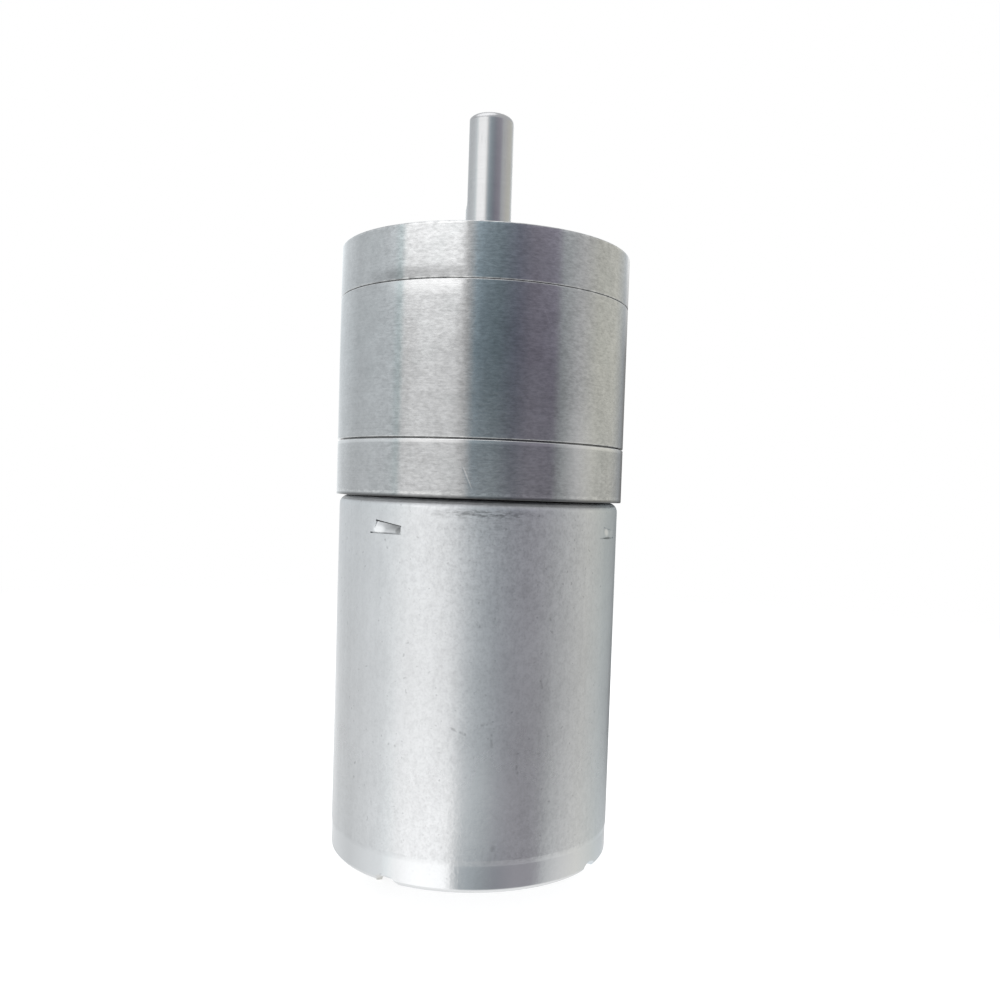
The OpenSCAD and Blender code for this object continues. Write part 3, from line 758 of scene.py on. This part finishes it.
def thread_cutter(x):
    """Tapped hole with its grooves and a countersink"""
    pitch = 0.5
    outline = [(0, -HOLE_DEPTH), (HOLE_R, -HOLE_DEPTH)]
    z = -HOLE_DEPTH + 0.12
    while z < -0.45:
        outline += [(HOLE_R, z), (HOLE_R + 0.22, z + 0.19), (HOLE_R + 0.22, z + 0.25), (HOLE_R, z + 0.44)]
        z += pitch
    outline += [(HOLE_R, -0.3), (HOLE_R + 0.62, 0.32), (0, 0.32)]
    return lathe("cutter", outline, 72, (x, 0))


def countersink_cutter(centre, r, screw, low):
    """Hole of radius r from low upward, with room for the screw's head"""
    head_r, head_h, top = screw[1:4]
    outline = [(0, low), (r, low), (r, top - head_h), (head_r + 0.02, top - 0.15), (head_r + 0.02, top - 0.02),
               (head_r + 0.12, top + 0.08), (head_r + 0.12, top + 1.5), (0, top + 1.5)]
    return lathe("cutter", outline, 72, centre)


def seam(z, side):
    """Outline corners where two castings meet at z: a hair of gap, then a rounded lip; side is 1 above z, -1 below"""
    gap, deep = SEAM_GAPS[z]
    corners = [(GEARBOX_R - deep, z), (GEARBOX_R - deep, z + side * gap), (GEARBOX_R, z + side * gap, 0.08)]
    return corners[::side]


def make_front_cover():
    outline = rounded([(BUSHING_R, COVER_Z), *seam(COVER_Z, 1), (GEARBOX_R, 0, 0.09), (BOSS_R, 0, 0.22),
                       (BOSS_R, BOSS_H, 0.16), (BUSHING_R, BOSS_H, 0.06)])
    cover = lathe("front_cover_casting", outline, 256)
    add(cover, *[rod(*COVER_POST, COVER_Z + 0.3, p, 48) for p in (LAY_A, LAY_B)])
    cutters = [thread_cutter(x) for x in (-HOLE_X, HOLE_X)]
    cutters += [countersink_cutter(at, COVER_HOLE_R, COVER_SCREW, -5) for at in COVER_SCREWS_AT]
    cutters += [rod(PIN_R, -7, COVER_Z + 1.5, p, 32) for p in (LAY_A, LAY_B)]
    cut(cover, *cutters)
    place(shade(cover), "housing", "front_cover", "gearbox_zinc", zinc)


def cavity_cutter(low, high):
    room = rod(CAVITY_R, low, high, segments=192)
    return cut(room, *at_screws(SCREW_BOSS_R, low - 1, high + 1))


def make_gearbox_ring():
    outline = rounded([(0, RING_Z), *seam(RING_Z, 1), *seam(COVER_Z, -1), (0, COVER_Z)])
    ring = lathe("gearbox_ring_casting", outline, 256)
    cut(ring, cavity_cutter(RING_Z - 1, COVER_Z + 1), *at_screws(1.1, RING_Z - 1, COVER_Z + 1))
    place(shade(ring), "housing", "gearbox_ring", "gearbox_zinc", zinc)


def make_rear_plate():
    room_r, room_z = MOTOR_BOSS_R + 0.1, MOTOR_BOSS_Z + 0.1
    outline = rounded([(room_r, PLATE_Z), (GEARBOX_R, PLATE_Z, 0.1), *seam(RING_Z, -1),
                       (2.6, RING_Z), (2.6, room_z), (room_r, room_z)])
    plate = lathe("rear_plate_casting", outline, 256)
    cut(plate, cavity_cutter(POCKET_Z, RING_Z + 1))
    post_r, post_top = PLATE_POST
    add(plate, rod(post_r, POCKET_Z - 0.5, post_top, LAY_B, 48))
    cutters = at_screws(COVER_HOLE_R, -19.7, RING_Z + 1)
    cutters += [countersink_cutter(at, MOTOR_HOLE_R, MOTOR_SCREW, PLATE_Z - 1) for at in MOTOR_SCREWS_AT]
    cutters += [rod(PIN_R, PLATE_Z + 0.6, -15.4, p, 32) for p in (LAY_A, LAY_B)]
    cut(plate, *cutters)
    place(shade(plate), "housing", "rear_plate", "gearbox_zinc", zinc)


# ---------- Screws ----------


def cross_cutters(width, depth, top, centre, angle):
    """The two tapered slots of a cross recess"""
    out = []
    for quarter in (0, 90):
        spin = turn(angle + quarter)
        half, thick = width / 2, width / 4.4
        levels = [(top + 0.2, half * 1.04, thick / 2 * 1.06), (top - depth, half * 0.42, thick / 2 * 0.72)]
        verts = []
        for z, a, b in levels:
            for x, y in ((-a, -b), (a, -b), (a, b), (-a, b)):
                p = spin @ Vector((x, y, 0))
                verts.append((p.x + centre[0], p.y + centre[1], z))
        out.append(hexahedron(verts))
    return out


def countersunk_screw(r, head_r, head_h, top, end, recess, centre, angle):
    """Countersunk screw with a rolled thread"""
    outline = [(0, end), (r - 0.25, end), (r - 0.02, end + 0.25)]
    z = end + 0.4
    while z < top - head_h - 0.5:
        outline += [(r - 0.02, z), (r - 0.2, z + 0.14), (r - 0.2, z + 0.2), (r - 0.02, z + 0.34)]
        z += 0.4
    outline += [(r - 0.02, top - head_h), (head_r - 0.02, top - 0.17), (head_r, top - 0.12), (head_r, top - 0.05),
                (head_r - 0.06, top), (0, top)]
    screw = lathe("screw", outline, 64, centre)
    cut(screw, *cross_cutters(recess, head_h * 0.72, top, centre, angle))
    return screw


def make_screws():
    covers = [countersunk_screw(*COVER_SCREW, at, rng.uniform(0, 90)) for at in COVER_SCREWS_AT]
    place(shade(join("cover_screws_threaded", covers)), "housing", "cover_screws", "screw_steel", screw_metal)
    motors = [countersunk_screw(*MOTOR_SCREW, at, rng.uniform(0, 90)) for at in MOTOR_SCREWS_AT]
    place(shade(join("motor_screws_threaded", motors)), "housing", "motor_screws", "screw_steel", screw_metal)


# ---------- Output ----------


def make_output():
    outline = rounded([(0, SHAFT_END), (JOURNAL_R, SHAFT_END), (JOURNAL_R, SHOULDER_Z), (SHAFT_R, SHOULDER_Z, 0.06),
                       (SHAFT_R, SHAFT_TIP, 0.6), (0, SHAFT_TIP)], 7)
    shaft = lathe("output_shaft_ground", outline, 192)
    depth = FLAT_ACROSS - SHAFT_R
    runout = [(depth, SHAFT_TIP + 1), (depth, FLAT_START + 0.55)]
    runout += [(depth + 0.55 * (1 - math.cos(a)), FLAT_START + 0.55 - 0.75 * math.sin(a)) for a in (0.3, 0.6, 0.9)]
    runout += [(3, FLAT_START - 0.3), (3, SHAFT_TIP + 1)]
    cut(shaft, prism("cutter", runout, -3, 3, sideways(FLAT_DIR)))
    place(shade(shaft, 25), "output", "output_shaft", "shaft_steel", ground)
    bushing = rounded([(BUSHING_BORE_R, FLANGE_Z), (FLANGE_R, FLANGE_Z, 0.1), (FLANGE_R, COVER_Z), (BUSHING_R, COVER_Z),
                       (BUSHING_R, BUSHING_TOP, 0.12), (BUSHING_BORE_R, BUSHING_TOP, 0.12)])
    place(shade(lathe("output_bushing_sintered", bushing, 96)), "housing", "output_bushing", "bearing_bronze", bronze)


# ---------- Motor casing ----------


def lance_cutter(angle, left, right):
    """Pocket of a tongue pushed in by these depths at its two ends, furthest at its sheared upper edge"""
    out, low = CAN_R + 0.6, LANCE_LOW
    spin = turn(angle - 90)
    # Each corner is (distance from the axis, distance along the tangent, height): mouth first, then floor
    verts = [(out, -1.95, low), (out, 1.58, low), (out, 1.58, -23.34), (out, -1.05, LANCE_TOP),
             (CAN_R - 0.25 * left, -1.3, low), (CAN_R - 0.45 * right, 1.5, low),
             (CAN_R - right, 1.5, -23.38), (CAN_R - left, -0.95, -23.0)]
    return hexahedron([spin @ Vector(v) for v in verts])


def slit_cutters(angle, left, right):
    """Sheared gaps above and below the tongue"""
    upper = [(-1.05, -22.99), (1.58, -23.4), (1.58, -23.28), (-1.05, -22.87)]
    lower = [(-1.7, -23.98), (1.55, -23.98), (1.55, -23.87), (-1.7, -23.87)]
    reach = max(left, right)
    cuts = [(lower, 0.1 + 0.3 * reach)]
    if reach > 0.3:
        cuts.append((upper, 1.2 * reach))
    return [prism("cutter", outline, CAN_R - depth, CAN_R + 1, upright(angle - 90)) for outline, depth in cuts]


def notch_cutter(angle):
    """Opening in the rim, left where a tab was bent in"""
    low, top = CAN_REAR, CAN_REAR + 0.78
    outline = rounded([(-1.1, low - 1), (1.3, low - 1), (1.12, low + 0.1, 0.25), (0.7, top - 0.2, 0.3),
                       (-0.2, top, 0.45), (-0.85, top - 0.3, 0.25), (-0.98, low + 0.1, 0.1)], 6)
    return prism("cutter", outline, CAN_IN_R - 0.5, CAN_R + 1, upright(angle - 90))


def tab(angle):
    """Tab of the rim bent in over the end plate"""
    inner, outer = CAN_IN_R - 0.9, CAN_IN_R + 0.5
    outline = rounded([(inner, END_PLATE_Z), (inner, -51.5, 0.1), (outer, -51.55, 0.12), (outer, END_PLATE_Z)])
    return prism("tab", outline, -0.85, 0.85, sideways(angle - 90))


def make_can():
    outer = [(CAN_R - 0.35, CAN_REAR, 0.1), (CAN_R - 0.05, CAN_REAR + 0.32, 0.25), (CAN_R - 0.05, BAND_TOP - 0.05, 0.3),
             (CAN_R, BAND_TOP + 0.4, 0.3), (CAN_R, LANCE_LOW - 0.25), (CAN_R, LANCE_TOP + 0.25), (CAN_R, PLATE_Z, 0.8),
             (MOTOR_BOSS_R, PLATE_Z, 0.25), (MOTOR_BOSS_R, MOTOR_BOSS_Z, 0.15), (BEARING_R, MOTOR_BOSS_Z),
             (BEARING_R, PLATE_Z - CAN_WALL), (CAN_IN_R, PLATE_Z - CAN_WALL, 0.1), (CAN_IN_R, CAN_REAR, 0.08)]
    can = lathe("motor_can_drawn", rounded(outer, 7), 288)
    cutters = [lance_cutter(*lance) for lance in LANCES] + [notch_cutter(a) for a in NOTCH_ANGLES]
    for lance in LANCES:
        cutters += slit_cutters(*lance)
    cutters += [rod(MOTOR_HOLE_R, PLATE_Z - 2, PLATE_Z + 1, at, 48) for at in MOTOR_SCREWS_AT]
    cut(can, *cutters)
    add(can, *[tab(a) for a in NOTCH_ANGLES])
    place(shade(can), "housing", "motor_can", "plated_can", plated)


def make_end_plate():
    rim_r = CAN_IN_R - 0.03
    outline = rounded([(BEARING_R, END_BOSS_Z), (END_BOSS_R, END_BOSS_Z, 0.35), (END_BOSS_R, END_PLATE_Z, 0.4),
                       (rim_r, END_PLATE_Z, 0.12), (rim_r, END_PLATE_TOP), (BEARING_R, END_PLATE_TOP)])
    plate = lathe("end_plate_pressed", outline, 192)
    windows = []
    for x in (-TERMINAL_X, TERMINAL_X):
        corners = rounded([(x - 1.5, -2.5, 0.35), (x + 1.5, -2.5, 0.35), (x + 1.5, 2.5, 0.35), (x - 1.5, 2.5, 0.35)], 3)
        windows.append(prism("cutter", corners, -52.5, -49.5, turn(BRUSH_DIR)))
    cut(plate, *windows)
    place(shade(plate), "housing", "end_plate", "end_plate_steel", pressed)
    low, top = END_BOSS_Z + 0.4, END_PLATE_TOP + 0.6
    bearing = rounded([(BEARING_BORE_R, low, 0.15), (BEARING_R, low, 0.08), (BEARING_R, top), (BEARING_BORE_R, top)])
    place(shade(lathe("rear_bearing_sintered", bearing, 96)), "housing", "rear_bearing", "bearing_bronze", bronze)


def make_terminals():
    blades = []
    for side in (0, 180):
        at = upright(BRUSH_DIR + side, TERMINAL_X)
        outline = rounded([(-1.4, TERMINAL_END, 1.15), (1.4, TERMINAL_END, 1.15), (1.4, TERMINAL_TOP),
                           (-1.4, TERMINAL_TOP)], 8)
        blade = prism("blade", outline, -0.25, 0.25, at)
        ring = [polar(0.55, i * 180 / 16) for i in range(32)]
        cut(blade, prism("cutter", [(x, z - 53.5) for x, z in ring], -1, 1, at))
        blades.append(soften(blade, 0.05))
    place(shade(join("terminals_stamped", blades), 35), "housing", "terminals", "terminal_tin", tin)


# ---------- Rotor and magnet springs ----------


def make_coils():
    """Wire turns wound round each pole of the core"""
    verts, faces = [], []
    wire, pitch, inner = 0.19, 0.39, 3.74
    half_tooth, half_core, mid, most_height = 1.55, 8.7, -34.5, 2.0
    for pole in range(5):
        spin = turn(pole * 72)
        for row in range(8):
            r = inner + row * pitch
            room = r * math.tan(math.radians(33)) - wire
            for layer in range(5):
                w = half_tooth + wire + layer * pitch
                h = half_core + wire + layer * pitch * 0.93
                if w > room or h > half_core + most_height - wire:
                    break
                corner = 0.35 + layer * 0.3
                jitter = rng.uniform(-0.035, 0.035)
                loop = rounded([(-w, mid - h, corner), (w, mid - h, corner),
                                (w, mid + h, corner), (-w, mid + h, corner)], 4)
                path = [spin @ Vector((r + jitter * math.cos(z * 0.9 + layer), t, z)) for t, z in loop]
                add_tube(verts, faces, path, wire, 6, closed=True)
    coils = add_mesh("coils_wound", verts, faces)
    coils.data.shade_smooth()
    place(coils, "rotor", "coils", "winding_copper", winding)


def make_springs():
    """Two bent wires that push the magnets apart"""
    verts, faces = [], []
    x, half = 9.45, 3.55
    low, top = -43.7, -27.25
    for side in (0, 180):
        spin = turn(BRUSH_DIR + side)
        path = rounded([(-half, low), (-half, top, 0.9), (half, top, 0.9), (half, low)], 6)
        add_tube(verts, faces, [spin @ Vector((x, t, z)) for t, z in path], 0.34, 10)
    springs = add_mesh("magnet_springs_wire", verts, faces)
    place(shade(springs, 40), "housing", "magnet_springs", "screw_steel", screw_metal)


make_front_cover()
make_gearbox_ring()
make_rear_plate()
make_screws()
make_output()
make_can()
make_end_plate()
make_terminals()
make_coils()
make_springs()

# ---------- Materials of the CAD nodes that stay ----------

KEPT = {
    "thrust_washer": ground, "layshaft_pins": ground, "motor_shaft": ground,
    "output_gear": gear_metal, "first_gear": gear_metal, "second_gear": gear_metal, "third_gear": gear_metal,
    "gear_shims": bronze, "front_bearing": bronze,
    "spacer_sleeve": brass, "motor_pinion": brass, "shaft_washers": brass,
    "commutator_segments": bare_copper, "brush_arms": bare_copper,
    "magnets": ferrite, "rotor_core": core_steel, "core_insulators": fibre, "commutator_hub": phenolic,
    "varistor_ring": ceramic, "brush_holder": nylon, "brushes": carbon,
}
for name, material in KEPT.items():
    cover_with(nodes[name], material)

# ---------- Studio: floor, backdrop and light ----------

BACKDROP_RADIUS, FLOOR_RADIUS, FLOOR_GLOW = 2.0, 0.6, 0.8
# Distances from the axis, in millimetres, between which the floor turns white
FLOOR_FADE = (60.0, 260.0)


def make_backdrop():
    """White surround that only the camera sees"""
    bm = bmesh.new()
    bmesh.ops.create_uvsphere(bm, u_segments=48, v_segments=24, radius=BACKDROP_RADIUS)
    obj = add_bmesh("backdrop", bm)
    material = bpy.data.materials.new("backdrop_white")
    n = Nodes(material)
    glow, output = n.new("ShaderNodeEmission"), n.new("ShaderNodeOutputMaterial")
    set_inputs(glow, Color=(1, 1, 1, 1))
    n.link(glow.outputs[0], output.inputs["Surface"])
    cover_with(obj, material)
    for seen_by in ("diffuse", "glossy", "transmission", "volume_scatter", "shadow"):
        setattr(obj, f"visible_{seen_by}", False)


def make_floor():
    """Pale floor that fades into the white surround"""
    bm = bmesh.new()
    bmesh.ops.create_circle(bm, cap_ends=True, segments=96, radius=FLOOR_RADIUS)
    obj = add_bmesh("floor", bm)
    obj.location.z = cad_low.z
    s = Surface("pale_floor")
    far = s.remap(s.radius(), *FLOOR_FADE, smooth=True)
    set_inputs(s.bsdf, Base_Color=(0.45, 0.45, 0.45, 1), Roughness=0.7,
               Emission_Color=(1, 1, 1, 1), Emission_Strength=FLOOR_GLOW)
    white, mix, clear, side = (s.new("ShaderNodeEmission"), s.new("ShaderNodeMixShader"),
                               s.new("ShaderNodeBsdfTransparent"), s.new("ShaderNodeMixShader"))
    geometry = s.new("ShaderNodeNewGeometry")
    output = next(n for n in s.tree.nodes if n.type == "OUTPUT_MATERIAL")
    s.link(far, mix.inputs[0])
    s.link(s.bsdf.outputs[0], mix.inputs[1])
    s.link(white.outputs[0], mix.inputs[2])
    s.link(geometry.outputs["Backfacing"], side.inputs[0])
    s.link(mix.outputs[0], side.inputs[1])
    s.link(clear.outputs[0], side.inputs[2])
    s.link(side.outputs[0], output.inputs["Surface"])
    cover_with(obj, s.material)
    obj.visible_glossy = False


NEUTRAL, COOL, TEAL = (1.0, 1.0, 1.0), (0.95, 1.0, 1.03), (0.80, 1.0, 1.13)
BLUE, VIOLET, WARM, CYAN = (0.94, 1.0, 1.25), (1.02, 0.97, 1.17), (1.03, 1.02, 0.93), (0.87, 1.0, 1.02)
# The surround: azimuth in degrees from -Y toward +X, tint, and brightness at each of the heights below
HEIGHTS = (0.28, 0.14, -0.20, -0.37)
TINT_STRENGTHS = (0.9, 1.15, 0.22, 0.45)
SURROUND = [
    (-180, NEUTRAL, (1.76, 1.02, 1.66, 0.74)),
    (-160, COOL, (1.26, 0.80, 1.24, 0.74)),
    (-140, COOL, (0.92, 0.86, 0.74, 0.80)),
    (-115, COOL, (0.76, 0.70, 0.72, 0.70)),
    (-90, COOL, (0.86, 0.78, 0.84, 0.84)),
    (-75, COOL, (1.02, 0.82, 0.80, 0.88)),
    (-68, CYAN, (1.16, 0.72, 0.94, 1.06)),
    (-64, NEUTRAL, (1.78, 0.92, 1.18, 1.08)),
    (-45, NEUTRAL, (1.78, 1.10, 1.04, 1.34)),
    (-24, NEUTRAL, (1.90, 1.00, 1.02, 1.32)),
    (-18, NEUTRAL, (1.64, 0.80, 1.06, 1.38)),
    (-14, NEUTRAL, (0.86, 0.60, 1.00, 0.94)),
    (-11, COOL, (0.76, 0.44, 0.92, 0.56)),
    (-7, TEAL, (0.64, 0.34, 0.64, 0.42)),
    (0, TEAL, (0.46, 0.24, 0.70, 0.42)),
    (10, TEAL, (0.38, 0.20, 0.62, 0.32)),
    (24, BLUE, (0.28, 0.16, 0.40, 0.26)),
    (36, VIOLET, (0.32, 0.22, 0.38, 0.32)),
    (56, VIOLET, (0.40, 0.24, 0.30, 0.32)),
    (63, COOL, (0.66, 0.42, 0.40, 0.56)),
    (80, NEUTRAL, (0.68, 0.66, 0.50, 0.72)),
    (100, WARM, (0.70, 0.76, 0.58, 0.78)),
    (125, WARM, (0.76, 0.78, 0.56, 0.74)),
    (147, COOL, (0.84, 0.46, 0.38, 0.72)),
    (158, NEUTRAL, (1.46, 0.30, 0.08, 0.86)),
    (170, NEUTRAL, (0.86, 0.18, 0.04, 0.88)),
]
SURROUND_PEAK = 2.0
# Colour below and above those heights: where it starts, where it is full, and its share there
GROUND = ((1.0, 1.0, 1.0), -0.45, -0.9, 0.8)
CEILING = ((0.66, 0.67, 0.69), 0.33, 0.52, 0.88)


def make_world():
    """Softbox at the left, dark side toward the camera, and soft light from behind, above and below"""
    world = bpy.data.worlds.new("studio")
    scene.world = world
    n = Nodes(world)
    x, y, z = n.split(n.new("ShaderNodeTexCoord").outputs["Generated"])
    azimuth = n.math("ARCTAN2", x, n.times(y, -1.0))
    turned = n.math("MULTIPLY_ADD", azimuth, 1 / (2 * math.pi), 0.5)
    rows = []
    for level, (height, strength) in enumerate(zip(HEIGHTS, TINT_STRENGTHS)):
        ramp = n.new("ShaderNodeValToRGB")
        stops = ramp.color_ramp.elements
        while len(stops) > 1:
            stops.remove(stops[-1])
        for i, (angle, tint, bright) in enumerate([*SURROUND, (180, *SURROUND[0][1:])]):
            stop = stops[0] if i == 0 else stops.new(angle / 360 + 0.5)
            stop.position = angle / 360 + 0.5
            stop.color = (*((1 + (c - 1) * strength) * bright[level] / SURROUND_PEAK for c in tint), 1)
        rows.append((height, n.fill(ramp, turned)))
    colour = rows[0][1]
    for (above, _), (height, row) in zip(rows, rows[1:]):
        colour = n.blend(n.remap(z, above, height), colour, row)
    for tint, start, full, share in (GROUND, CEILING):
        colour = n.blend(n.remap(z, start, full, 0.0, share), colour, [c / SURROUND_PEAK for c in tint])
    background, output = n.new("ShaderNodeBackground"), n.new("ShaderNodeOutputWorld")
    set_inputs(background, Strength=SURROUND_PEAK)
    n.link(n.fill(background, colour), output.inputs["Surface"])


def make_lamp():
    lamp = bpy.data.lights.new("overhead", "AREA")
    lamp.shape, lamp.size, lamp.energy = "DISK", 0.8, 1.3
    obj = add_object("overhead", lamp)
    obj.location = (-0.18, -0.12, 0.62)
    obj.rotation_euler = (Vector((0, 0, -0.03)) - obj.location).to_track_quat("-Z", "Y").to_euler()
    obj.visible_camera = False


# The photo's camera, as fitted to it: place in metres, and yaw, pitch and roll in radians
CAMERA_AT = (0, -0.087354, -0.020507)
CAMERA_ANGLES = (0.04103, -0.04369, 0.03348)


def make_camera():
    yaw, pitch, roll = CAMERA_ANGLES
    ahead = Vector((math.sin(yaw) * math.cos(pitch), math.cos(yaw) * math.cos(pitch), math.sin(pitch)))
    right = Vector((math.cos(yaw), -math.sin(yaw), 0))
    up = right.cross(ahead)
    tilted_right = right * math.cos(roll) + up * math.sin(roll)
    tilted_up = up * math.cos(roll) - right * math.sin(roll)
    data = bpy.data.cameras.new("camera")
    data.sensor_width, data.lens = 36, 35.31
    data.shift_x, data.shift_y = -0.0184, 0.0371
    data.clip_start, data.clip_end = 0.005, 10
    obj = add_object("camera", data)
    turned = Matrix((tilted_right, tilted_up, -ahead)).transposed().to_4x4()
    obj.matrix_world = Matrix.Translation(CAMERA_AT) @ turned
    scene.camera = obj


make_backdrop()
make_floor()
make_world()
make_lamp()
make_camera()
scene.view_settings.view_transform = "Standard"
